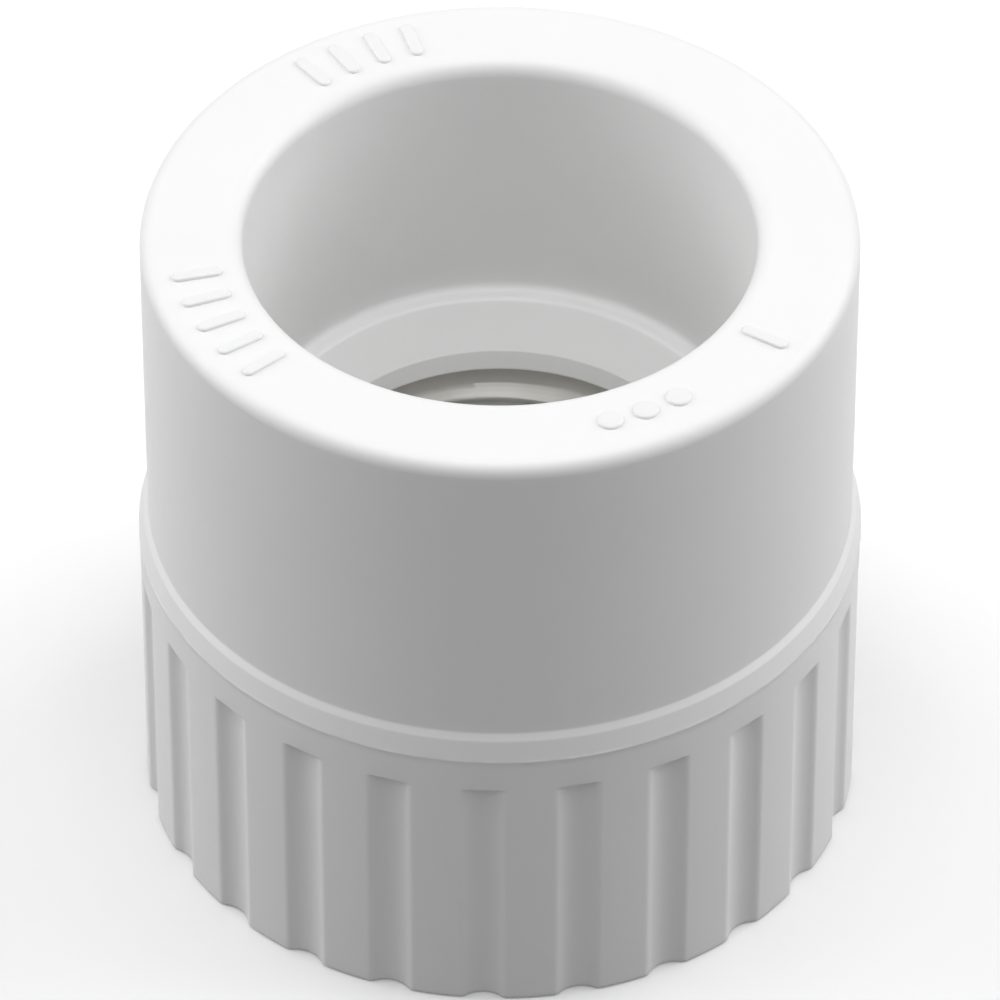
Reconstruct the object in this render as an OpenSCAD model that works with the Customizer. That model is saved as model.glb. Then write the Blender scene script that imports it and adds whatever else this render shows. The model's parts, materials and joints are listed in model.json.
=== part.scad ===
// Heat-fusion adapter for PP-R pipe: a plain fusion socket above, and below it a fluted collar
// moulded round a metal insert with an internal pipe thread. Millimetres, +Z up.
// The origin is the centre of the bottom face and the axis of every round feature is Z.

/* [Socket] */
// Bore of the fusion socket
socket_d = 31; // [24:0.1:40]
// Depth of the socket from the top face to the pipe stop
socket_depth = 18.1; // [12:0.1:30]
// Wall of the barrel round the socket
socket_wall = 6.2; // [4.5:0.1:9]
// Rounding of the edge between the top face and the socket
mouth_round = 1; // [0.3:0.1:1.6]
// Rounding of the edge between the top face and the barrel
rim_round = 0.9; // [0.3:0.1:1.6]

/* [Pipe stop] */
// Width of the flat ledge that the pipe's end meets
ledge_w = 1; // [0.5:0.1:2]
// How far the funnel below the ledge narrows the passage, measured on the radius
funnel_w = 1.9; // [0.5:0.1:2.5]
// Height of the funnel
funnel_h = 2.7; // [1:0.1:5]
// Height of the waist between the funnel and the insert
waist_h = 1.3; // [0.5:0.1:4]
// How far the waist narrows towards the insert, measured on the radius
waist_taper = 0.3; // [0.05:0.05:0.4]

/* [Thread] */
// Largest diameter of the internal thread, at the bottom of its grooves
thread_major_d = 26.44; // [20:0.01:34]
// Distance from one thread groove to the next
thread_pitch = 1.814; // [1:0.001:2.5]
// Height of the plain relief above the thread
relief_h = 2; // [1:0.1:3]

/* [Insert] */
// Height of the metal insert
insert_h = 21.1; // [17:0.1:32]
// Metal left between the thread and the floor of the seal grooves
insert_wall = 1.8; // [1:0.1:3]
// How far the knurl stands out from the insert's plain bands
knurl_stand = 0.7; // [0.3:0.05:1]
// How far the bottom of a knurl notch stays outside the insert's plain bands
notch_floor = 0.1; // [0.05:0.05:0.2]
// Number of knurl notches round the insert
knurl_count = 40; // [24:1:60]
// Height of the plain flange at the insert's open end
flange_h = 3; // [1.5:0.1:5]
// Height of the plain head at the insert's inner end
head_h = 3.1; // [2:0.1:5]
// Height of the plain bands between a seal groove and the knurl
band_h = 1.2; // [0.6:0.1:2]
// Width of the groove that stops the insert pulling out
lock_w = 1.6; // [0.8:0.1:2.5]

/* [Seal rings] */
// Thickness of a seated seal ring, measured on the radius
seal_t = 1.5; // [1:0.1:2]
// Width of a seal groove
seal_groove_w = 2.2; // [2.1:0.1:3]
// Gap between a seated ring and each side of its groove
seal_side_gap = 0.1; // [0.05:0.01:0.15]

/* [Collar] */
// Moulding left between the knurl and the bottom of the flutes
cover_wall = 4.5; // [1.5:0.1:8]
// How far the moulding line lies below the top of the insert
line_drop = 0.9; // [0:0.1:4]
// Height of the bevel between the moulding line and the barrel
bevel_h = 1.7; // [0.5:0.1:3]
// Height of the flatter shoulder at the top of the bevel
shoulder_h = 0.3; // [0.1:0.05:0.5]
// How far the moulding line stands out from the collar
line_proud = 0.1; // [0.05:0.01:0.2]
// Number of flutes
flute_count = 24; // [8:1:30]
// Radius of a flute's hollow
flute_r = 1.8; // [1:0.05:4]
// Depth of a flute
flute_depth = 0.55; // [0.3:0.05:1.2]
// Easing of a flute's two long edges, as the radius of the circle that would round them
flute_lip = 0.5; // [0.1:0.05:0.8]
// Plain height left between the flutes and the moulding line
flute_margin = 2.6; // [1:0.1:6]

/* [Raised marks] */
// Height of the raised marks on the top face
mark_h = 0.2; // [0.05:0.05:0.4]
// Width of one raised mark
mark_w = 0.8; // [0.4:0.1:1.2]
// Plain width left between a mark and the rounded edges of the top face
mark_margin = 0.6; // [0.2:0.1:0.8]
// Angle between neighbouring marks in a group
mark_step = 7; // [4:0.5:9]

/* [Hidden] */
$fn = 96;
cut = 1; // how far a cutter runs past the face it cuts

// Thread, a 55 degree pipe profile with flat crests and roots
flank_angle = 27.5;
flat_share = 1 / 6; // width of a crest or root flat, as a share of the pitch
depth_share = 0.6403; // depth of the profile, as a share of the pitch
thread_depth = depth_share * thread_pitch;
thread_major_r = thread_major_d / 2;
thread_minor_r = thread_major_r - thread_depth;
root_flat = flat_share * thread_pitch;
groove_mouth = root_flat + 2 * thread_depth * tan(flank_angle);
mouth_clear = 0.2; // how far the entry chamfer and the relief clear the thread's grooves
relief_r = thread_major_r + mouth_clear;
chamfer_h = relief_r - thread_minor_r; // 45 degree chamfers at both ends of the thread
thread_top_z = insert_h - relief_h - chamfer_h;
turns = floor((thread_top_z - chamfer_h) / thread_pitch);

// Insert, from its bore outwards and from its open end upwards
seal_floor_r = thread_major_r + insert_wall;
insert_r = seal_floor_r + seal_t;
knurl_r = insert_r + knurl_stand;
lower_seal_z = flange_h + seal_groove_w / 2;
upper_seal_z = insert_h - head_h - seal_groove_w / 2;
knurl_z0 = lower_seal_z + seal_groove_w / 2 + band_h;
knurl_z1 = upper_seal_z - seal_groove_w / 2 - band_h;
lock_z = (knurl_z0 + knurl_z1) / 2;
notch_w = 2 * PI * knurl_r / knurl_count * 0.8; // notches leave a narrow crest between them
head_chamfer = 0.8;
face_chamfer = 0.3;

// Moulding
socket_r = socket_d / 2;
barrel_r = socket_r + socket_wall;
collar_r = knurl_r + cover_wall + flute_depth;
ledge_r = socket_r - ledge_w;
waist_r = ledge_r - funnel_w;
waist_end_r = waist_r - waist_taper;
waist_z = insert_h;
funnel_z = waist_z + waist_h;
ledge_z = funnel_z + funnel_h;
body_h = ledge_z + socket_depth;
line_z = insert_h - line_drop;
line_h = 0.35;
bevel_z = line_z + bevel_h;
shoulder_r = (barrel_r + collar_r) / 2;
flute_h = line_z - flute_margin;
foot_chamfer = 0.2;

// Flute section: the hollow's circle, and lip circles that touch both it and the collar's surface;
// a flat between the two points of touch eases each long edge
hollow_x = collar_r - flute_depth + flute_r;
lip_r = collar_r - flute_lip;
lip_angle = acos((hollow_x ^ 2 + lip_r ^ 2 - (flute_r + flute_lip) ^ 2) / (2 * hollow_x * lip_r));

// Raised marks: groups of bars and dots round the middle of the top face
mark_r0 = socket_r + mouth_round + mark_margin;
mark_r1 = barrel_r - rim_round - mark_margin;
mark_mid_r = (mark_r0 + mark_r1) / 2;
mark_sink = 0.2; // how far a mark is rooted in the face
BAR_GROUPS = [[120, 4], [210, 5], [330, 1]]; // [angle of the group's middle, number of bars]
DOT_GROUPS = [[300, 3]]; // [angle of the group's middle, number of dots]

// Bite that rounds the outer top corner of a profile at [r, z]; side is 1 for the right-hand
// corner of the material and -1 for the left-hand one.
module corner_bite(r, z, radius, side) {
    translate([r, z]) mirror([side > 0 ? 0 : 1, 0]) difference() {
        translate([-radius, -radius]) square(radius + cut);
        translate([-radius, -radius]) circle(radius);
    }
}

// Half section of the moulding without its flutes, marks and insert
module body_section() {
    difference() {
        polygon([
            [0, 0],
            [collar_r - foot_chamfer, 0],
            [collar_r, foot_chamfer],
            [collar_r, line_z - line_h],
            [collar_r + line_proud, line_z - line_h / 2],
            [collar_r, line_z],
            [shoulder_r, bevel_z - shoulder_h],
            [barrel_r, bevel_z],
            [barrel_r, body_h],
            [socket_r, body_h],
            [socket_r, ledge_z],
            [ledge_r, ledge_z],
            [waist_r, funnel_z],
            [waist_end_r, waist_z],
            [0, waist_z]
        ]);
        corner_bite(barrel_r, body_h, rim_round, 1);
        corner_bite(socket_r, body_h, mouth_round, -1);
    }
}

// Point at a radius and angle from the axis
function polar(radius, angle) = [radius * cos(angle), radius * sin(angle)];

// Points on the flat that eases one lip of a flute, from the hollow outwards past the collar's
// surface; side is 1 or -1
function lip_flat(side) = let (
    hollow_centre = [hollow_x, 0],
    to_lip = polar(lip_r, side * lip_angle) - hollow_centre,
    touch = hollow_centre + to_lip * flute_r / (flute_r + flute_lip),
    rise = polar(collar_r, side * lip_angle) - touch
) [touch, touch + 3 * rise];

// Cutter for one flute, pointing along +X and open at the bottom face
module flute_cutter() {
    left = lip_flat(-1);
    right = lip_flat(1);
    translate([0, 0, -cut]) linear_extrude(flute_h + cut) {
        translate([hollow_x, 0]) circle(flute_r);
        polygon([left[0], left[1], right[1], right[0]]);
    }
}

module raised_bar() {
    translate([mark_r0, -mark_w / 2, body_h - mark_sink])
        cube([mark_r1 - mark_r0, mark_w, mark_sink + mark_h]);
}

module raised_dot() {
    translate([mark_mid_r, 0, body_h - mark_sink]) cylinder(h = mark_sink + mark_h, d = 2 * mark_w, $fn = 32);
}

// Places its child once for each mark of each group
module at_marks(groups) {
    for (group = groups, i = [0 : group[1] - 1])
        rotate([0, 0, group[0] + (i - (group[1] - 1) / 2) * mark_step]) children();
}

// V notch of the knurl, pointing along +X
module knurl_notch() {
    translate([0, 0, knurl_z0 - cut / 2]) linear_extrude(knurl_z1 - knurl_z0 + cut) polygon([
        [insert_r + notch_floor, 0],
        [knurl_r + knurl_stand, -notch_w],
        [knurl_r + knurl_stand, notch_w]
    ]);
}

// The insert's outside as a solid plug with its seal grooves filled: the moulding is shaped by it
module insert_plug() {
    difference() {
        rotate_extrude() polygon([
            [0, 0],
            [insert_r - face_chamfer, 0],
            [insert_r, face_chamfer],
            [insert_r, knurl_z0],
            [knurl_r, knurl_z0],
            [knurl_r, lock_z - lock_w / 2],
            [seal_floor_r, lock_z - lock_w / 2],
            [seal_floor_r, lock_z + lock_w / 2],
            [knurl_r, lock_z + lock_w / 2],
            [knurl_r, knurl_z1],
            [insert_r, knurl_z1],
            [insert_r, insert_h - head_chamfer],
            [insert_r - head_chamfer, insert_h],
            [0, insert_h]
        ]);
        for (i = [0 : knurl_count - 1])
            rotate([0, 0, i * 360 / knurl_count]) knurl_notch();
    }
}

// Corners of thread groove i, from its lower lip to its upper lip
function groove_points(i) = let (mid_z = chamfer_h + (i + 0.5) * thread_pitch) [
    [thread_minor_r, mid_z - groove_mouth / 2],
    [thread_major_r, mid_z - root_flat / 2],
    [thread_major_r, mid_z + root_flat / 2],
    [thread_minor_r, mid_z + groove_mouth / 2]
];

// The insert's passage: entry chamfer, thread, chamfer and relief. The thread's grooves are
// closed rings at the true pitch and depth, so that the crests stay a true cylinder.
module thread_cutter() {
    rotate_extrude() polygon(concat(
        [[0, -cut], [relief_r + cut, -cut], [thread_minor_r, chamfer_h]],
        [for (i = [0 : turns - 1]) each groove_points(i)],
        [
            [thread_minor_r, thread_top_z],
            [relief_r, thread_top_z + chamfer_h],
            [relief_r, insert_h + cut],
            [0, insert_h + cut]
        ]
    ));
}

module seal_groove_cutter(mid_z) {
    translate([0, 0, mid_z - seal_groove_w / 2]) difference() {
        cylinder(h = seal_groove_w, r = insert_r + cut);
        cylinder(h = seal_groove_w, r = seal_floor_r);
    }
}

// A round cord squeezed flat between the groove's floor and the moulding
module seal_ring(mid_z) {
    cord_r = seal_t / 2;
    half_flat = seal_groove_w / 2 - seal_side_gap - cord_r;
    translate([0, 0, mid_z]) rotate_extrude() translate([seal_floor_r + cord_r, 0]) {
        for (side = [-1, 1])
            translate([0, side * half_flat]) circle(cord_r, $fn = 48);
        translate([-cord_r, -half_flat]) square([seal_t, 2 * half_flat]);
    }
}

module body() {
    color("#f3f3f0") {
        difference() {
            rotate_extrude() body_section();
            insert_plug();
            for (i = [0 : flute_count - 1])
                rotate([0, 0, i * 360 / flute_count]) flute_cutter();
        }
        at_marks(BAR_GROUPS) raised_bar();
        at_marks(DOT_GROUPS) raised_dot();
    }
}

module threaded_insert() {
    color("#c9c6bd") difference() {
        insert_plug();
        thread_cutter();
        seal_groove_cutter(lower_seal_z);
        seal_groove_cutter(upper_seal_z);
    }
}

module upper_seal_ring() {
    color("#232323") seal_ring(upper_seal_z);
}

module lower_seal_ring() {
    color("#232323") seal_ring(lower_seal_z);
}

body();
threaded_insert();
upper_seal_ring();
lower_seal_ring();
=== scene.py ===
"""Studio scene of a heat-fusion pipe adapter.

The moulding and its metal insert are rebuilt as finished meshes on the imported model's own sizes:
rounded edges, flutes with soft corners, an uneven moulding line and a true helical thread.
"""

import json
import logging
import math
from dataclasses import dataclass
from enum import Enum
from typing import Callable, Iterable, NamedTuple

import bmesh
import bpy
from mathutils import Matrix, Vector, noise


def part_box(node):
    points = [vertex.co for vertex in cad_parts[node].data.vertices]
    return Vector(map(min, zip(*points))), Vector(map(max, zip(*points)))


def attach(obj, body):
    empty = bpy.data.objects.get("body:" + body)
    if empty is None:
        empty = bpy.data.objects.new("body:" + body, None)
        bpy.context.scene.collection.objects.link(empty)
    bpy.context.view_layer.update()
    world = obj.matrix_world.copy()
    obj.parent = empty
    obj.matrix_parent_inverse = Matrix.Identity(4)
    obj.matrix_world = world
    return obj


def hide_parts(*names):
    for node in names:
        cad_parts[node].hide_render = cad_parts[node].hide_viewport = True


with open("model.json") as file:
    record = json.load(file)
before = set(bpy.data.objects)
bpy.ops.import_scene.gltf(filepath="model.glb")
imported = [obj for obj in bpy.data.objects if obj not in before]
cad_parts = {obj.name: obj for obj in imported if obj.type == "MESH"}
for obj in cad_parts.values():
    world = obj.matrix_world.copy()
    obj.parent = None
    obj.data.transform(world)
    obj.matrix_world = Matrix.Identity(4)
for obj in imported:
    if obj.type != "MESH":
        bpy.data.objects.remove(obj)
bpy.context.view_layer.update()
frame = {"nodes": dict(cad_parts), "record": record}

log = logging.getLogger("adapter")

MM = 0.001
WELD = 0.004 * MM  # vertices closer than this are one
FINE_WELD = 0.002 * MM  # the same, for the finer mesh of the knurl
NOISE_LOW = 0.3  # noise rarely falls below this
NOISE_HIGH = 0.7  # and rarely rises above this
MOST_REACH = 0.49  # largest share of a side that the rounding of one of its corners takes
BODY = "root"

# Quarter circle at the moulding's foot: how far in from the side and up, as shares of its radius
FOOT_ARC = ((0.62, 0.08), (0.29, 0.29), (0.08, 0.62))

# Upper end of a flute: height above the nominal end in millimetres, and share of the full depth
FLUTE_END = (
    (-0.30, 1.0),
    (-0.16, 0.99),
    (-0.07, 0.93),
    (-0.02, 0.82),
    (0.0, 0.68),
    (0.01, 0.25),
    (0.04, 0.10),
    (0.09, 0.02),
    (0.18, 0.0),
)

# Soft edge of a raised mark: inset in millimetres, and share of the mark's height
MARK_EDGE = ((0.0, -0.5), (0.0, 0.35), (0.05, 0.72), (0.14, 0.93), (0.24, 1.0))


class Slot(Enum):
    """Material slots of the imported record."""

    WHITE_PPR = "white_ppr"
    NICKEL_PLATED_BRASS = "nickel_plated_brass"
    SEAL_RUBBER = "seal_rubber"


class Station(NamedTuple):
    """One ring of a turned profile: radius and height in metres, and its share of the flutes' depth."""

    r: float
    z: float
    share: float = 0.0


# --------------------------------------------------------------------------------------
# Small tools
# --------------------------------------------------------------------------------------


def mount(name: str) -> dict:
    """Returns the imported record's mount of that name."""
    return next(m for m in frame["record"]["mounts"] if m["name"] == name)


def linear(hex_colour: str) -> tuple[float, float, float, float]:
    """Turns an sRGB hex colour into linear RGBA.

    Args:
        hex_colour: A colour such as "#f2f1ee".

    Returns:
        Red, green, blue and an alpha of 1, linear.
    """
    channels = [int(hex_colour[i : i + 2], 16) / 255 for i in (1, 3, 5)]
    decoded = [c / 12.92 if c <= 0.04045 else ((c + 0.055) / 1.055) ** 2.4 for c in channels]
    return (*decoded, 1.0)


def add_node(tree: bpy.types.NodeTree, kind: str, inputs: dict | None = None, **settings) -> bpy.types.Node:
    """Adds a node with its settings, input values and links.

    Args:
        tree: Node tree to add to.
        kind: Blender's name of the node type.
        inputs: Input name or index to a value, or to an output socket that is linked to it.
        settings: Properties of the node, such as operation="ADD".

    Returns:
        The new node.
    """
    node = tree.nodes.new(kind)
    for name, value in settings.items():
        setattr(node, name, value)
    for key, value in (inputs or {}).items():
        if isinstance(value, bpy.types.NodeSocket):
            tree.links.new(value, node.inputs[key])
        else:
            node.inputs[key].default_value = value
    return node


def strip_faces(columns: int, rows: int, closed: bool) -> list[tuple[int, int, int, int]]:
    """Returns the quads between neighbouring columns of vertices.

    Args:
        columns: Number of columns, whose vertices follow one another.
        rows: Number of vertices in a column.
        closed: Whether the last row joins the first.

    Returns:
        Vertex numbers of each quad.
    """
    faces = []
    for column in range(columns - 1):
        for row in range(rows if closed else rows - 1):
            a = column * rows + row
            b = column * rows + (row + 1) % rows
            faces.append((a, a + rows, b + rows, b))
    return faces


def rounded(
    corners: list[Station], radii: list[float], steps: int = 5, support: float = 0.12 * MM
) -> list[Station]:
    """Rounds the corners of an open profile.

    Args:
        corners: The profile's corners, in order.
        radii: Rounding of each corner in metres; 0 leaves it sharp.
        steps: Facets of each rounded corner.
        support: Distance of the extra ring that keeps the flat beside a rounding flat.

    Returns:
        The profile with an arc and two support rings at each rounded corner.
    """
    out: list[Station] = []
    for i, (corner, radius) in enumerate(zip(corners, radii)):
        is_end = i in (0, len(corners) - 1)
        if radius <= 0 or is_end:
            out.append(corner)
            continue
        here = Vector((corner.r, corner.z))
        back = Vector((corners[i - 1].r, corners[i - 1].z)) - here
        ahead = Vector((corners[i + 1].r, corners[i + 1].z)) - here
        half = back.angle(ahead) / 2
        reach = min(radius / math.tan(half), MOST_REACH * min(back.length, ahead.length))
        true_radius = reach * math.tan(half)
        inward = (back.normalized() + ahead.normalized()).normalized()
        centre = here + inward * (true_radius / math.sin(half))
        first = here + back.normalized() * reach
        last = here + ahead.normalized() * reach
        sweep = (first - centre).angle_signed(last - centre)
        if reach + support < back.length / 2:
            out.append(Station(*(first + back.normalized() * support), corner.share))
        for k in range(steps + 1):
            turned = Matrix.Rotation(-sweep * k / steps, 2) @ (first - centre)
            out.append(Station(*(centre + turned), corner.share))
        if reach + support < ahead.length / 2:
            out.append(Station(*(last + ahead.normalized() * support), corner.share))
    return out


def new_object(name: str, verts: Iterable, faces: Iterable) -> bpy.types.Object:
    """Makes a mesh object at the origin from vertices in metres and faces."""
    mesh = bpy.data.meshes.new(name)
    mesh.from_pydata([tuple(v) for v in verts], [], [tuple(f) for f in faces])
    mesh.update()
    obj = bpy.data.objects.new(name, mesh)
    bpy.context.scene.collection.objects.link(obj)
    return obj


def clean(obj: bpy.types.Object) -> None:
    """Welds an object's doubles, drops faces with no area, turns its faces outwards and smooths it.

    Args:
        obj: The mesh object, whose form is one or more closed shells.
    """
    work = bmesh.new()
    work.from_mesh(obj.data)
    bmesh.ops.remove_doubles(work, verts=work.verts, dist=WELD)
    bmesh.ops.dissolve_degenerate(work, edges=work.edges, dist=WELD)
    bmesh.ops.recalc_face_normals(work, faces=work.faces)
    for face in work.faces:
        face.smooth = True
    work.to_mesh(obj.data)
    work.free()


def joined(name: str, parts: list[bpy.types.Object]) -> bpy.types.Object:
    """Joins mesh objects into one new object and removes them.

    Args:
        name: Name of the new object.
        parts: Objects at the origin; the first one's material is given to the whole.

    Returns:
        The new object.
    """
    verts: list[Vector] = []
    faces: list[list[int]] = []
    material = parts[0].data.materials[0]
    for part in parts:
        start = len(verts)
        verts += [v.co.copy() for v in part.data.vertices]
        faces += [[start + i for i in p.vertices] for p in part.data.polygons]
        bpy.data.objects.remove(part)
    whole = new_object(name, verts, faces)
    whole.data.materials.append(material)
    return whole


# --------------------------------------------------------------------------------------
# Geometry Nodes: one sector or mark, repeated round the fitting's axis
# --------------------------------------------------------------------------------------


@dataclass
class RoundRepeat:
    """A node tree that repeats a mesh round the Z axis and welds the copies together."""

    name: str = "repeat_round_axis"

    def __post_init__(self) -> None:
        """Builds the tree once, with named inputs."""
        tree = bpy.data.node_groups.new(self.name, "GeometryNodeTree")
        face = tree.interface
        face.new_socket("Sector", in_out="INPUT", socket_type="NodeSocketGeometry")
        face.new_socket("Count", in_out="INPUT", socket_type="NodeSocketInt")
        face.new_socket("First angle", in_out="INPUT", socket_type="NodeSocketFloat")
        face.new_socket("Step", in_out="INPUT", socket_type="NodeSocketFloat")
        face.new_socket("Weld", in_out="INPUT", socket_type="NodeSocketFloat")
        face.new_socket("Finish", in_out="INPUT", socket_type="NodeSocketMaterial")
        face.new_socket("Ring", in_out="OUTPUT", socket_type="NodeSocketGeometry")
        given = add_node(tree, "NodeGroupInput").outputs
        points = add_node(tree, "GeometryNodePoints", {"Count": given["Count"]})
        index = add_node(tree, "GeometryNodeInputIndex")
        turned = add_node(
            tree, "ShaderNodeMath", {0: index.outputs[0], 1: given["Step"]}, operation="MULTIPLY"
        )
        angle = add_node(
            tree, "ShaderNodeMath", {0: turned.outputs[0], 1: given["First angle"]}, operation="ADD"
        )
        rotation = add_node(
            tree, "FunctionNodeAxisAngleToRotation", {"Axis": (0.0, 0.0, 1.0), "Angle": angle.outputs[0]}
        )
        copies = add_node(
            tree,
            "GeometryNodeInstanceOnPoints",
            {"Points": points.outputs[0], "Instance": given["Sector"], "Rotation": rotation.outputs[0]},
        )
        real = add_node(tree, "GeometryNodeRealizeInstances", {"Geometry": copies.outputs[0]})
        welded = add_node(
            tree, "GeometryNodeMergeByDistance", {"Geometry": real.outputs[0], "Distance": given["Weld"]}
        )
        dressed = add_node(
            tree, "GeometryNodeSetMaterial", {"Geometry": welded.outputs[0], "Material": given["Finish"]}
        )
        add_node(tree, "NodeGroupOutput", {"Ring": dressed.outputs[0]})
        self.tree = tree

    def apply(
        self, sector: bpy.types.Object, finish: bpy.types.Material, **values: float
    ) -> bpy.types.Object:
        """Repeats a mesh round the axis and returns the result as a plain mesh.

        Args:
            sector: The object to repeat; it is removed.
            finish: Material of the result.
            values: The tree's inputs, with underscores for spaces in their names.

        Returns:
            A new object at the origin with the same name.
        """
        name = sector.name
        sector.data.materials.append(finish)
        modifier = sector.modifiers.new("repeat", "NODES")
        modifier.node_group = self.tree
        named = {key.replace("_", " ").capitalize(): value for key, value in values.items()}
        for socket in self.tree.interface.items_tree:
            if socket.in_out == "INPUT" and socket.name in named:
                modifier[socket.identifier] = named[socket.name]
            elif socket.name == "Finish":
                modifier[socket.identifier] = finish
        depsgraph = bpy.context.evaluated_depsgraph_get()
        mesh = bpy.data.meshes.new_from_object(sector.evaluated_get(depsgraph))
        sector.modifiers.remove(modifier)
        bpy.data.objects.remove(sector)
        ring = bpy.data.objects.new(name, mesh)
        bpy.context.scene.collection.objects.link(ring)
        return ring


# --------------------------------------------------------------------------------------
# Finishes
# --------------------------------------------------------------------------------------


@dataclass(frozen=True)
class Relief:
    """Fine unevenness of a surface.

    Its size is that of one lump and its height that of the bump, both in metres; strength is the
    share of the bump that shows, detail the octaves of finer noise, and stretch says how many
    times longer the lumps are along Z.
    """

    size: float
    height: float
    strength: float
    detail: float = 2.0
    stretch: float = 1.0


@dataclass(frozen=True)
class Finish:
    """What every finish shares: a name, and the steps that build its material."""

    name: str

    def start(self) -> tuple[bpy.types.Material, bpy.types.NodeTree, bpy.types.Node, bpy.types.NodeSocket]:
        """Makes an empty node material.

        Returns:
            The material, its tree, its surface shader and the object coordinates in metres.
        """
        material = bpy.data.materials.new(self.name)
        material.use_nodes = True
        tree = material.node_tree
        tree.nodes.clear()
        shader = add_node(tree, "ShaderNodeBsdfPrincipled")
        add_node(tree, "ShaderNodeOutputMaterial", {"Surface": shader.outputs[0]})
        place = add_node(tree, "ShaderNodeTexCoord").outputs["Object"]
        return material, tree, shader, place

    def grain(
        self,
        tree: bpy.types.NodeTree,
        place: bpy.types.NodeSocket,
        size: float,
        detail: float = 2.0,
        stretch: float = 1.0,
    ) -> bpy.types.NodeSocket:
        """Adds noise of a real size.

        Args:
            tree: The material's tree.
            place: Coordinates in metres.
            size: Size of one lump in metres.
            detail: Octaves of finer noise.
            stretch: How many times longer the lumps are along Z.

        Returns:
            The noise from 0 to 1.
        """
        scaled = add_node(tree, "ShaderNodeMapping", {"Vector": place, "Scale": (1.0, 1.0, 1.0 / stretch)})
        lumps = add_node(
            tree, "ShaderNodeTexNoise", {"Vector": scaled.outputs[0], "Scale": 1.0 / size, "Detail": detail}
        )
        return lumps.outputs["Fac"]

    def relief_grain(
        self, tree: bpy.types.NodeTree, place: bpy.types.NodeSocket, relief: Relief
    ) -> bpy.types.NodeSocket:
        """Adds a relief's noise and returns it."""
        return self.grain(tree, place, relief.size, relief.detail, relief.stretch)

    def emboss(
        self,
        tree: bpy.types.NodeTree,
        shader: bpy.types.Node,
        layers: list[tuple[bpy.types.NodeSocket, Relief]],
    ) -> None:
        """Stacks bumps on a shader's normal.

        Args:
            tree: The material's tree.
            shader: The surface shader.
            layers: Heights from 0 to 1 with their reliefs, the lowest layer first.
        """
        below = {}
        for height, relief in layers:
            values = {"Height": height, "Strength": relief.strength, "Distance": relief.height}
            bump = add_node(tree, "ShaderNodeBump", {**values, **below})
            below = {"Normal": bump.outputs[0]}
        tree.links.new(below["Normal"], shader.inputs["Normal"])

    def spread(
        self, tree: bpy.types.NodeTree, value: bpy.types.NodeSocket, span: tuple[float, float]
    ) -> bpy.types.NodeSocket:
        """Maps noise to a range of values.

        Args:
            tree: The material's tree.
            value: Noise from 0 to 1, most of it between NOISE_LOW and NOISE_HIGH.
            span: Results at those two levels.

        Returns:
            The mapped value.
        """
        source = {"Value": value, "From Min": NOISE_LOW, "From Max": NOISE_HIGH}
        result = {"To Min": span[0], "To Max": span[1]}
        ranged = add_node(tree, "ShaderNodeMapRange", {**source, **result})
        return ranged.outputs[0]

    def tint(
        self, tree: bpy.types.NodeTree, share: bpy.types.NodeSocket, first: str, second: str
    ) -> bpy.types.NodeSocket:
        """Blends two hex colours by a share from 0 to 1 and returns the colour."""
        colours = {"A": linear(first), "B": linear(second)}
        mix = add_node(tree, "ShaderNodeMix", {"Factor": share, **colours}, data_type="RGBA")
        return mix.outputs["Result"]


@dataclass(frozen=True)
class MouldedPpr(Finish):
    """Injection-moulded PP-R.

    The polymer is waxy and slightly see-through, so edges stay soft and bright. A spark-finished
    cavity leaves a fine satin grain, and the way the moulding leaves its cavity leaves faint
    draw lines along Z.
    """

    name: str = "moulded PP-R, white"
    light_tone: str = "#eeeeee"
    shade_tone: str = "#ebebeb"
    roughness: tuple[float, float] = (0.36, 0.47)
    ior: float = 1.49
    cloud: float = 9.0 * MM
    pits: Relief = Relief(size=0.6 * MM, height=0.015 * MM, strength=0.40, detail=1.0)
    spark_grain: Relief = Relief(size=0.16 * MM, height=0.006 * MM, strength=0.30, detail=3.0)
    draw_lines: Relief = Relief(size=0.22 * MM, height=0.006 * MM, strength=0.20, detail=1.0, stretch=45.0)
    glow: float = 0.12
    glow_reach: float = 0.9 * MM
    glow_tint: tuple[float, float, float] = (1.0, 0.95, 0.9)

    def build(self) -> bpy.types.Material:
        """Builds the material."""
        material, tree, shader, place = self.start()
        clouds = self.grain(tree, place, self.cloud)
        pitted = self.relief_grain(tree, place, self.pits)
        sparked = self.relief_grain(tree, place, self.spark_grain)
        drawn = self.relief_grain(tree, place, self.draw_lines)
        colour = self.tint(tree, clouds, self.light_tone, self.shade_tone)
        tree.links.new(colour, shader.inputs["Base Color"])
        tree.links.new(self.spread(tree, pitted, self.roughness), shader.inputs["Roughness"])
        layers = [(pitted, self.pits), (sparked, self.spark_grain), (drawn, self.draw_lines)]
        self.emboss(tree, shader, layers)
        shader.inputs["IOR"].default_value = self.ior
        shader.inputs["Subsurface Weight"].default_value = self.glow
        shader.inputs["Subsurface Radius"].default_value = self.glow_tint
        shader.inputs["Subsurface Scale"].default_value = self.glow_reach
        return material


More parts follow.
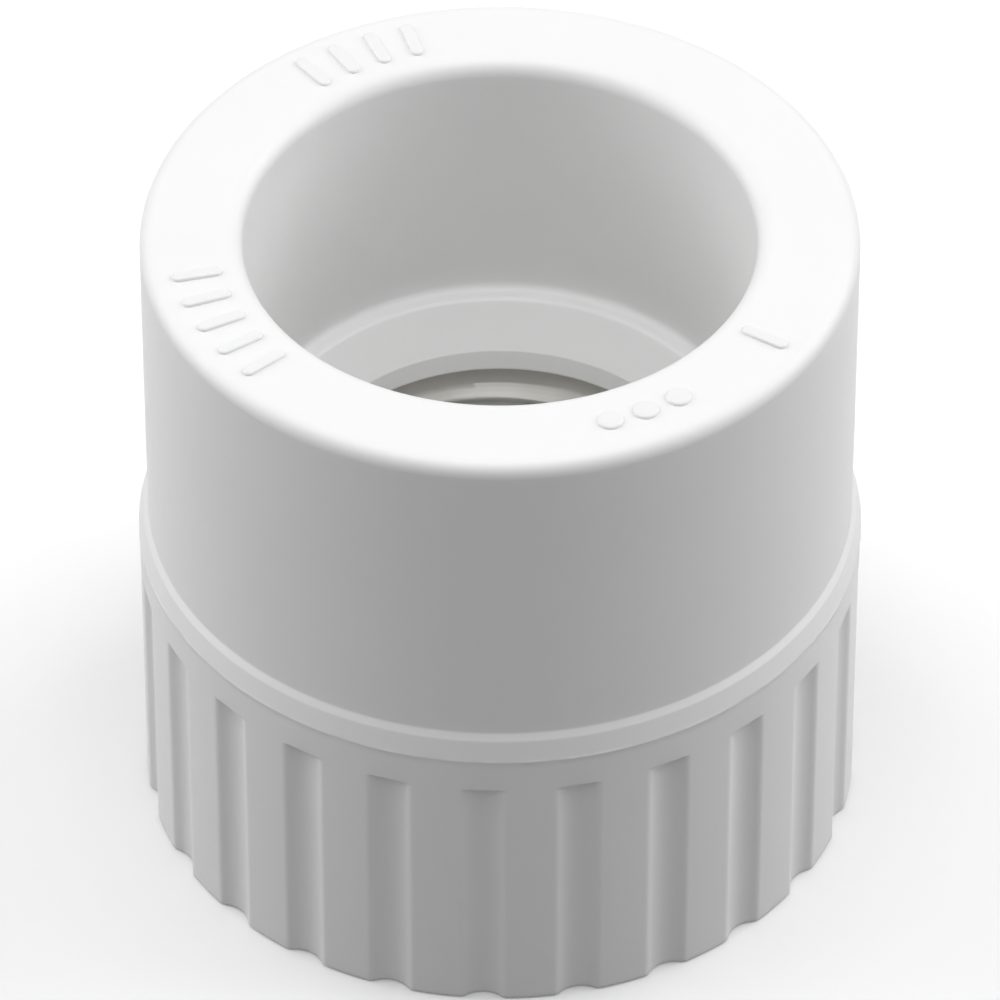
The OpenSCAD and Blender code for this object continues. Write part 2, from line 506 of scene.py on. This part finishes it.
@dataclass(frozen=True)
class NickelPlatedBrass(Finish):
    """Turned brass under satin nickel.

    The plate is thin, so the lathe's feed marks still show as fine rings on the faces and in the
    bores, and handling leaves slightly duller patches.
    """

    name: str = "nickel-plated turned brass"
    bright_tone: str = "#e4e3df"
    dull_tone: str = "#d8d6d1"
    roughness: tuple[float, float] = (0.52, 0.62)
    patch: float = 5.0 * MM
    feed: Relief = Relief(size=0.22 * MM, height=0.006 * MM, strength=0.25)
    feed_wander: float = 0.6

    def build(self) -> bpy.types.Material:
        """Builds the material."""
        material, tree, shader, place = self.start()
        patches = self.grain(tree, place, self.patch)
        colour = self.tint(tree, patches, self.bright_tone, self.dull_tone)
        tree.links.new(colour, shader.inputs["Base Color"])
        tree.links.new(self.spread(tree, patches, self.roughness), shader.inputs["Roughness"])
        # A wave texture of scale 1 turns through 20 radians in a metre
        scale = 2 * math.pi / (20 * self.feed.size)
        marks = {"Vector": place, "Scale": scale, "Distortion": self.feed_wander}
        rings = add_node(tree, "ShaderNodeTexWave", marks, wave_type="RINGS", rings_direction="Z")
        bands = add_node(tree, "ShaderNodeTexWave", marks, wave_type="BANDS", bands_direction="Z")
        self.emboss(tree, shader, [(wave.outputs["Fac"], self.feed) for wave in (rings, bands)])
        shader.inputs["Metallic"].default_value = 1.0
        return material


@dataclass(frozen=True)
class EpdmRubber(Finish):
    """Moulded EPDM: near black, matt, with a faint bloom of lighter grey."""

    name: str = "moulded EPDM, black"
    deep_tone: str = "#17181a"
    bloom_tone: str = "#26272a"
    roughness: tuple[float, float] = (0.55, 0.72)
    bloom: float = 1.5 * MM
    skin: Relief = Relief(size=0.12 * MM, height=0.01 * MM, strength=0.3)

    def build(self) -> bpy.types.Material:
        """Builds the material."""
        material, tree, shader, place = self.start()
        blooms = self.grain(tree, place, self.bloom)
        colour = self.tint(tree, blooms, self.deep_tone, self.bloom_tone)
        tree.links.new(colour, shader.inputs["Base Color"])
        tree.links.new(self.spread(tree, blooms, self.roughness), shader.inputs["Roughness"])
        self.emboss(tree, shader, [(self.relief_grain(tree, place, self.skin), self.skin)])
        return material


@dataclass(frozen=True)
class PaleSweep(Finish):
    """The studio's matt white table top."""

    name: str = "matt white table top"
    light_tone: str = "#fbfbfb"
    shade_tone: str = "#f8f8f8"
    roughness: tuple[float, float] = (0.75, 0.85)
    mottle: float = 60.0 * MM

    def build(self) -> bpy.types.Material:
        """Builds the material."""
        material, tree, shader, place = self.start()
        mottle = self.grain(tree, place, self.mottle)
        colour = self.tint(tree, mottle, self.light_tone, self.shade_tone)
        tree.links.new(colour, shader.inputs["Base Color"])
        tree.links.new(self.spread(tree, mottle, self.roughness), shader.inputs["Roughness"])
        return material


# --------------------------------------------------------------------------------------
# The fitting
# --------------------------------------------------------------------------------------


@dataclass
class Insert:
    """The metal insert: a knurled and grooved plug with a helical pipe thread through it."""

    pitch: float = 1.814 * MM
    thread_depth: float = 1.1615 * MM
    flats_per_pitch: int = 6
    flank_ease: float = 0.012
    mouth_clear: float = 0.2 * MM
    relief_h: float = 2.0 * MM
    wall: float = 1.8 * MM
    seal_t: float = 1.5 * MM
    knurl_stand: float = 0.7 * MM
    notch_floor: float = 0.1 * MM
    crest_share: float = 0.13
    knurls: int = 40
    columns_per_knurl: int = 6
    flange_h: float = 3.0 * MM
    head_h: float = 3.1 * MM
    band_h: float = 1.2 * MM
    groove_w: float = 2.2 * MM
    lock_w: float = 1.6 * MM
    edge: float = 0.3 * MM
    head_edge: float = 0.8 * MM
    corner_round: float = 0.08 * MM
    corner_support: float = 0.05 * MM

    def __post_init__(self) -> None:
        """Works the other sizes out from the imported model."""
        low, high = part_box("threaded_insert")
        self.height = high.z - low.z
        self.minor_r = mount("pipe_thread")["dims"]["r_mm"] * MM
        self.major_r = self.minor_r + self.thread_depth
        self.root_flat = self.pitch / self.flats_per_pitch
        self.relief_r = self.major_r + self.mouth_clear
        self.chamfer_h = self.relief_r - self.minor_r
        self.thread_end_z = self.height - self.relief_h
        self.knurl_r = (high.x - low.x) / 2
        self.plain_r = self.knurl_r - self.knurl_stand
        self.floor_r = self.plain_r - self.seal_t
        self.lower_seal_z = self.flange_h + self.groove_w / 2
        self.upper_seal_z = self.height - self.head_h - self.groove_w / 2
        self.knurl_z0 = self.flange_h + self.groove_w + self.band_h
        self.knurl_z1 = self.height - self.head_h - self.groove_w - self.band_h
        self.lock_z = (self.knurl_z0 + self.knurl_z1) / 2

    def outline(self) -> list[Station]:
        """Returns the outside from the thread's mouth to the relief; share marks the knurled rings."""
        half_groove = self.groove_w / 2
        half_lock = self.lock_w / 2
        plain, floor, knurl = self.plain_r, self.floor_r, self.knurl_r
        corners = [
            Station(self.relief_r, 0.0),
            Station(plain - self.edge, 0.0),
            Station(plain, self.edge),
            Station(plain, self.lower_seal_z - half_groove),
            Station(floor, self.lower_seal_z - half_groove),
            Station(floor, self.lower_seal_z + half_groove),
            Station(plain, self.lower_seal_z + half_groove),
            Station(plain, self.knurl_z0),
            Station(knurl, self.knurl_z0, 1.0),
            Station(knurl, self.lock_z - half_lock, 1.0),
            Station(floor, self.lock_z - half_lock),
            Station(floor, self.lock_z + half_lock),
            Station(knurl, self.lock_z + half_lock, 1.0),
            Station(knurl, self.knurl_z1, 1.0),
            Station(plain, self.knurl_z1),
            Station(plain, self.upper_seal_z - half_groove),
            Station(floor, self.upper_seal_z - half_groove),
            Station(floor, self.upper_seal_z + half_groove),
            Station(plain, self.upper_seal_z + half_groove),
            Station(plain, self.height - self.head_edge),
            Station(plain - self.head_edge, self.height),
            Station(self.relief_r, self.height),
            Station(self.relief_r, self.thread_end_z),
        ]
        radii = [self.corner_round] * len(corners)
        return rounded(corners, radii, steps=2, support=self.corner_support)

    def sector(self) -> bpy.types.Object:
        """Returns one knurl pitch of the outside as an open strip."""
        rings = self.outline()
        count = self.columns_per_knurl
        pitch_angle = 2 * math.pi / self.knurls
        verts = []
        for column in range(count + 1):
            place = column / count
            angle = (place - 0.5) * pitch_angle
            notch = max(0.0, 1.0 - abs(place - 0.5) / (0.5 - self.crest_share))
            depth = notch * (self.knurl_stand - self.notch_floor)
            for ring in rings:
                r = ring.r - ring.share * depth
                verts.append((r * math.cos(angle), r * math.sin(angle), ring.z))
        faces = strip_faces(count + 1, len(rings), closed=False)
        return new_object("threaded_insert_metal", verts, faces)

    def bore_radius(self, z: float, turn: float) -> float:
        """Returns the threaded bore's radius.

        Args:
            z: Height in metres.
            turn: Angle round the axis, in turns.

        Returns:
            The larger of the thread profile and the chamfer at that end, in metres.
        """
        phase = (z / self.pitch - turn) % 1.0
        from_root = abs(phase - 0.5) * self.pitch - self.root_flat / 2
        flank = self.thread_depth / ((self.pitch - 2 * self.root_flat) / 2)
        thread = self.major_r - min(max(0.0, from_root * flank), self.thread_depth)
        chamfer = self.relief_r - min(z, self.thread_end_z - z)
        return max(thread, chamfer)

    def thread(self) -> bpy.types.Object:
        """Returns the threaded bore, its rows following the helix."""
        columns = self.knurls * self.columns_per_knurl
        half_flat = self.root_flat / self.pitch / 2
        ease = self.flank_ease
        root, crest = half_flat, 0.5 - half_flat
        marks = (root - ease, root + ease, 0.25, crest - ease, crest + ease)
        phases = sorted([0.5 - m for m in marks] + [0.5 + m for m in marks])
        turns = range(-2, math.ceil(self.thread_end_z / self.pitch) + 2)
        rows = [whole + phase for whole in turns for phase in phases]
        verts, faces = [], []
        for column in range(columns):
            turn = (column - self.columns_per_knurl / 2) / columns
            angle = 2 * math.pi * turn
            for row in rows:
                z = min(max((row + turn) * self.pitch, 0.0), self.thread_end_z)
                r = self.bore_radius(z, turn)
                verts.append((r * math.cos(angle), r * math.sin(angle), z))
        size = len(rows)
        for column in range(columns):
            wraps = column == columns - 1
            for row in range(size - 1):
                a = column * size + row
                b = row + len(phases) if wraps else a + size
                if wraps and row + len(phases) + 1 >= size:
                    continue
                faces.append((a, a + 1, b + 1, b))
        return new_object("thread", verts, faces)

    def build(self, repeat: RoundRepeat, finish: bpy.types.Material) -> bpy.types.Object:
        """Builds the insert and puts it in its node's place.

        Args:
            repeat: The tree that repeats the knurl.
            finish: The insert's material.

        Returns:
            The finished piece.
        """
        outside = repeat.apply(
            self.sector(),
            finish,
            count=self.knurls,
            first_angle=0.0,
            step=2 * math.pi / self.knurls,
            weld=FINE_WELD,
        )
        name = outside.name
        outside.name = "outside"
        whole = joined(name, [outside, self.thread()])
        clean(whole)
        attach(whole, BODY)
        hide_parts("threaded_insert")
        return whole


@dataclass
class Moulding:
    """The white moulding: barrel, socket, pipe stop, moulding line and fluted collar."""

    insert: Insert
    flutes: int = 24
    flute_r: float = 1.8 * MM
    flute_depth: float = 0.55 * MM
    flute_lip: float = 0.5 * MM
    flute_turn: float = math.radians(4.2)
    section_steps: int = 13
    land_steps: int = 3
    flute_margin: float = 2.6 * MM
    foot: float = 0.2 * MM
    seam_round: float = 0.15 * MM
    seam_flat: float = 0.40 * MM
    line_drop: float = 0.9 * MM
    line_h: float = 0.35 * MM
    line_proud: float = 0.1 * MM
    bevel_h: float = 1.7 * MM
    line_lump: float = 2.2 * MM
    line_nick: float = 0.8 * MM
    line_round: float = 0.12 * MM
    shoulder_h: float = 0.45 * MM
    shoulder_round: float = 0.45 * MM
    barrel_foot_round: float = 0.30 * MM
    rim_round: float = 0.9 * MM
    mouth_round: float = 1.0 * MM
    socket_depth: float = 18.1 * MM
    socket_wall: float = 6.2 * MM
    ledge_w: float = 1.0 * MM
    funnel_w: float = 1.9 * MM
    funnel_h: float = 2.7 * MM
    waist_taper: float = 0.3 * MM
    stop_round: float = 0.45 * MM
    ledge_round: float = 0.40 * MM
    funnel_round: float = 0.25 * MM
    waist_round: float = 0.10 * MM
    mark_h: float = 0.2 * MM
    mark_w: float = 0.8 * MM
    mark_margin: float = 0.6 * MM
    mark_step: float = math.radians(7)
    bar_end_steps: int = 8
    dot_steps: int = 24

    def __post_init__(self) -> None:
        """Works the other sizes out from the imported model."""
        low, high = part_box("body")
        self.collar_r = (high.x - low.x) / 2 - self.line_proud
        self.top_z = high.z - self.mark_h
        self.socket_r = mount("fusion_socket")["dims"]["r_mm"] * MM
        self.barrel_r = self.socket_r + self.socket_wall
        self.ledge_z = self.top_z - self.socket_depth
        self.funnel_z = self.ledge_z - self.funnel_h
        self.line_z = self.insert.height - self.line_drop
        self.bevel_z = self.line_z + self.bevel_h
        self.shoulder_r = (self.barrel_r + self.collar_r) / 2
        self.waist_r = self.socket_r - self.ledge_w - self.funnel_w
        self.flute_end_z = self.line_z - self.flute_margin
        self.mark_r0 = self.socket_r + self.mouth_round + self.mark_margin
        self.mark_r1 = self.barrel_r - self.rim_round - self.mark_margin

    def fluted_radius(self, angle: float) -> float:
        """Returns the collar's radius at an angle from a flute's middle, where the flute is full.

        Args:
            angle: Angle from the flute's middle, in radians.

        Returns:
            The radius of the hollow, of the rounded lip or of the plain collar, in metres.
        """
        turn = abs(angle)
        hollow_x = self.collar_r - self.flute_depth + self.flute_r
        lip_r = self.collar_r - self.flute_lip
        reach = self.flute_r + self.flute_lip
        lip_turn = math.acos((hollow_x**2 + lip_r**2 - reach**2) / (2 * hollow_x * lip_r))
        if turn >= lip_turn:
            return self.collar_r
        share = self.flute_r / reach
        touch_x = hollow_x + (lip_r * math.cos(lip_turn) - hollow_x) * share
        touch_y = lip_r * math.sin(lip_turn) * share
        if turn > math.atan2(touch_y, touch_x):
            aside = lip_r * math.sin(lip_turn - turn)
            return lip_r * math.cos(lip_turn - turn) + math.sqrt(self.flute_lip**2 - aside**2)
        return hollow_x * math.cos(turn) - math.sqrt(self.flute_r**2 - (hollow_x * math.sin(turn)) ** 2)

    def flute_section(self) -> list[tuple[float, float]]:
        """Returns the angle and the share of full depth across one flute pitch."""
        half_pitch = math.pi / self.flutes
        steps = self.section_steps
        land = (half_pitch - self.flute_turn) / self.land_steps
        one_side = [self.flute_turn * k / steps for k in range(1, steps + 1)]
        one_side += [self.flute_turn + land * k for k in range(1, self.land_steps + 1)]
        angles = [-turn for turn in reversed(one_side)] + [0.0] + one_side
        return [(turn, (self.collar_r - self.fluted_radius(turn)) / self.flute_depth) for turn in angles]

    def outer_rings(self) -> list[Station]:
        """Returns the fluted outside from the bottom face up to the moulding line."""
        foot = self.foot
        return [
            Station(self.collar_r - 4 * self.flute_depth, 0.0),
            Station(self.collar_r - 1.4 * foot, 0.0, 1.0),
            Station(self.collar_r - foot, 0.0, 1.0),
            *(Station(self.collar_r - inward * foot, up * foot, 1.0) for inward, up in FOOT_ARC),
            Station(self.collar_r, foot, 1.0),
            Station(self.collar_r, 2 * foot, 1.0),
            *(Station(self.collar_r, self.flute_end_z + dz * MM, share) for dz, share in FLUTE_END),
            Station(self.collar_r, self.line_z - 2 * self.line_h),
            Station(self.collar_r, self.line_z - self.line_h),
        ]

    def turned_rings(self) -> list[Station]:
        """Returns the plain outside, the top face, the socket and the pipe stop."""
        head = self.insert.plain_r - self.insert.head_edge
        profile = [
            (Station(self.collar_r, self.line_z - self.line_h), 0.0),
            (Station(self.collar_r + self.line_proud, self.line_z - self.line_h / 2), self.line_round),
            (Station(self.collar_r, self.line_z), self.line_round),
            (Station(self.shoulder_r, self.bevel_z - self.shoulder_h), self.shoulder_round),
            (Station(self.barrel_r, self.bevel_z), self.barrel_foot_round),
            (Station(self.barrel_r, self.top_z), self.rim_round),
            (Station(self.socket_r, self.top_z), self.mouth_round),
            (Station(self.socket_r, self.ledge_z), self.stop_round),
            (Station(self.socket_r - self.ledge_w, self.ledge_z), self.ledge_round),
            (Station(self.waist_r, self.funnel_z), self.funnel_round),
            (Station(self.waist_r - self.waist_taper, self.insert.height), self.waist_round),
            (Station(head, self.insert.height), 0.0),
        ]
        corners = [corner for corner, _ in profile]
        radii = [radius for _, radius in profile]
        return rounded(corners, radii, steps=6)[1:]

    def cavity_rings(self) -> list[Station]:
        """Returns the inside that is wrapped round the insert, from its head down to the bottom face."""
        ins = self.insert
        half_lock = ins.lock_w / 2
        return [
            Station(ins.plain_r, ins.height - ins.head_edge),
            Station(ins.plain_r, ins.knurl_z1),
            Station(ins.knurl_r, ins.knurl_z1),
            Station(ins.knurl_r, ins.lock_z + half_lock),
            Station(ins.floor_r, ins.lock_z + half_lock),
            Station(ins.floor_r, ins.lock_z - half_lock),
            Station(ins.knurl_r, ins.lock_z - half_lock),
            Station(ins.knurl_r, ins.knurl_z0),
            Station(ins.plain_r, ins.knurl_z0),
            Station(ins.plain_r, self.seam_round),
            Station(ins.plain_r + self.seam_round / 3, self.seam_round / 5),
            Station(ins.plain_r + self.seam_round, 0.0),
            Station(ins.plain_r + self.seam_flat, 0.0),
        ]

    def sector(self) -> bpy.types.Object:
        """Returns one flute pitch of the whole moulding as an open strip."""
        section = self.flute_section()
        rings = self.outer_rings() + self.turned_rings() + self.cavity_rings()
        verts = []
        for angle, flute in section:
            for ring in rings:
                r = ring.r - ring.share * flute * self.flute_depth
                verts.append((r * math.cos(angle), r * math.sin(angle), ring.z))
        faces = strip_faces(len(section), len(rings), closed=True)
        return new_object("moulding", verts, faces)

    def roughen_line(self, body: bpy.types.Object) -> None:
        """Makes the moulding line uneven, as a worn parting edge leaves it."""
        half = self.line_h / 2
        for vertex in body.data.vertices:
            co = vertex.co
            radius = math.hypot(co.x, co.y)
            if abs(co.z - self.line_z + half) > half or radius <= self.collar_r:
                continue
            along = Vector((co.x, co.y, 0.0))
            lumps = noise.noise(along / self.line_lump) / 2
            nicks = noise.noise(along / self.line_nick) / 4
            keep = min(1.0, max(0.05, 0.5 + lumps + nicks))
            target = self.collar_r + (radius - self.collar_r) * keep
            vertex.co.x *= target / radius
            vertex.co.y *= target / radius

    def pad(self, name: str, outline: list[Vector]) -> bpy.types.Object:
        """Returns a raised mark with a soft edge.

        Args:
            name: Name of the object.
            outline: Closed outline on the top face, in metres, counter-clockwise.

        Returns:
            A closed shell rooted in the top face.
        """
        centre = sum(outline, Vector((0.0, 0.0))) / len(outline)
        verts = []
        for inset, height in MARK_EDGE:
            for point in outline:
                inward = (centre - point).normalized() * inset * MM
                spot = point + inward
                verts.append((spot.x, spot.y, self.top_z + height * self.mark_h))
        count = len(outline)
        top = len(MARK_EDGE) - 1
        faces = [tuple(range(count))[::-1], tuple(range(top * count, (top + 1) * count))]
        for level in range(top):
            for i in range(count):
                a = level * count + i
                b = level * count + (i + 1) % count
                faces.append((a, b, b + count, a + count))
        return new_object(name, verts, faces)

    def bar_outline(self) -> list[Vector]:
        """Returns the outline of a raised bar that lies along a radius."""
        half = self.mark_w / 2
        out = []
        for centre_r, first in ((self.mark_r1 - half, -90), (self.mark_r0 + half, 90)):
            for k in range(self.bar_end_steps + 1):
                angle = math.radians(first + 180 * k / self.bar_end_steps)
                out.append(Vector((centre_r + half * math.cos(angle), half * math.sin(angle))))
        return out

    def dot_outline(self) -> list[Vector]:
        """Returns the outline of a raised dot on the marks' circle."""
        middle = (self.mark_r0 + self.mark_r1) / 2
        turns = [2 * math.pi * k / self.dot_steps for k in range(self.dot_steps)]
        return [Vector((middle + self.mark_w * math.cos(t), self.mark_w * math.sin(t))) for t in turns]

    def marks(self, repeat: RoundRepeat, finish: bpy.types.Material) -> list[bpy.types.Object]:
        """Builds the groups of raised marks on the top face.

        Args:
            repeat: The tree that repeats a mark round the axis.
            finish: The moulding's material.

        Returns:
            One object for each group.
        """
        groups: list[tuple[float, int, Callable[[], list[Vector]]]] = [
            (120, 4, self.bar_outline),
            (210, 5, self.bar_outline),
            (330, 1, self.bar_outline),
            (300, 3, self.dot_outline),
        ]
        out = []
        for middle, count, outline in groups:
            first = math.radians(middle) - (count - 1) / 2 * self.mark_step
            mark = self.pad(f"marks_{middle}", outline())
            group = repeat.apply(
                mark, finish, count=count, first_angle=first, step=self.mark_step, weld=0.0
            )
            out.append(group)
        return out

    def build(self, repeat: RoundRepeat, finish: bpy.types.Material) -> bpy.types.Object:
        """Builds the moulding and puts it in its node's place.

        Args:
            repeat: The tree that repeats the flutes and the marks.
            finish: The moulding's material.

        Returns:
            The finished piece.
        """
        shell = repeat.apply(
            self.sector(),
            finish,
            count=self.flutes,
            first_angle=0.0,
            step=2 * math.pi / self.flutes,
            weld=WELD,
        )
        self.roughen_line(shell)
        name = shell.name
        shell.name = "shell"
        whole = joined(name, [shell, *self.marks(repeat, finish)])
        clean(whole)
        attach(whole, BODY)
        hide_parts("body")
        return whole


@dataclass
class SealRings:
    """The two rubber rings between the insert and the moulding, as packed."""

    nodes: tuple[str, ...] = ("upper_seal_ring", "lower_seal_ring")

    def dress(self, finish: bpy.types.Material) -> None:
        """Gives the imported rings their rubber."""
        for name in self.nodes:
            ring = frame["nodes"][name]
            ring.data.materials.clear()
            ring.data.materials.append(finish)


# --------------------------------------------------------------------------------------
# The studio
# --------------------------------------------------------------------------------------


@dataclass
class SoftBox:
    """One square studio light, aimed at the fitting; its azimuth runs from the camera's side."""

    name: str
    azimuth: float
    elevation: float
    power: float
    size: float = 0.5
    distance: float = 0.6

    def build(self, target: Vector) -> None:
        """Adds the light.

        Args:
            target: Point that it faces.
        """
        light = bpy.data.lights.new(self.name, "AREA")
        light.size = self.size
        light.energy = self.power
        lamp = bpy.data.objects.new(self.name, light)
        around, up = math.radians(self.azimuth), math.radians(self.elevation)
        away = Vector((math.sin(around) * math.cos(up), -math.cos(around) * math.cos(up), math.sin(up)))
        lamp.location = target + away * self.distance
        lamp.rotation_euler = away.to_track_quat("Z", "Y").to_euler()
        bpy.context.scene.collection.objects.link(lamp)


@dataclass
class Studio:
    """A pale table top, soft lights and the camera."""

    camera_azimuth: float = 2.6
    camera_elevation: float = 42.0
    camera_distance: float = 0.5834
    target_height: float = 0.0212
    lens: float = 340.4
    table_half: float = 6.0
    table_gap: float = 0.05 * MM
    ambient: str = "#ffffff"
    ambient_strength: float = 0.225

    def floor(self, finish: bpy.types.Material) -> None:
        """Adds the table top just under the fitting."""
        half = self.table_half
        top = -self.table_gap
        table = new_object(
            "table_top",
            [(-half, -half, top), (half, -half, top), (half, half, top), (-half, half, top)],
            [(0, 1, 2, 3)],
        )
        table.data.materials.append(finish)
        # The room's even light stands for the table's bounce, which would fill the shaded front.
        table.visible_diffuse = False

    def lights(self) -> None:
        """Adds the soft boxes and the even light of the room."""
        target = Vector((0.0, 0.0, self.target_height))
        boxes = [
            SoftBox("left_high", azimuth=-110, elevation=35, power=1.40),
            SoftBox("left_low", azimuth=-90, elevation=20, power=0.80),
            SoftBox("right_high", azimuth=110, elevation=35, power=1.95),
            SoftBox("right_low", azimuth=90, elevation=20, power=0.40),
            SoftBox("front_top", azimuth=0, elevation=72, power=1.27),
            SoftBox("overhead", azimuth=180, elevation=88, power=0.48, size=0.2),
        ]
        for box in boxes:
            box.build(target)
        world = bpy.data.worlds.new("room")
        world.use_nodes = True
        background = world.node_tree.nodes["Background"]
        background.inputs["Color"].default_value = linear(self.ambient)
        background.inputs["Strength"].default_value = self.ambient_strength
        bpy.context.scene.world = world

    def camera(self) -> None:
        """Adds the camera, looking down on the socket."""
        data = bpy.data.cameras.new("camera")
        data.lens = self.lens
        camera = bpy.data.objects.new("camera", data)
        around, up = math.radians(self.camera_azimuth), math.radians(self.camera_elevation)
        away = Vector((math.sin(around) * math.cos(up), -math.cos(around) * math.cos(up), math.sin(up)))
        camera.location = Vector((0.0, 0.0, self.target_height)) + away * self.camera_distance
        camera.rotation_euler = away.to_track_quat("Z", "Y").to_euler()
        bpy.context.scene.collection.objects.link(camera)
        bpy.context.scene.camera = camera

    def build(self, finish: bpy.types.Material) -> None:
        """Builds the whole studio."""
        self.floor(finish)
        self.lights()
        self.camera()
        bpy.context.scene.view_settings.view_transform = "Standard"


def report(piece: bpy.types.Object) -> None:
    """Logs a piece's name and its number of faces."""
    log.info("%s: %d faces", piece.name, len(piece.data.polygons))


def main() -> None:
    """Builds the fitting and its studio."""
    logging.basicConfig(level=logging.INFO, format="%(name)s: %(message)s")
    Studio().build(PaleSweep().build())
    repeat = RoundRepeat()
    insert = Insert()
    report(insert.build(repeat, NickelPlatedBrass().build()))
    report(Moulding(insert).build(repeat, MouldedPpr().build()))
    SealRings().dress(EpdmRubber().build())


if __name__ == "__main__":
    main()
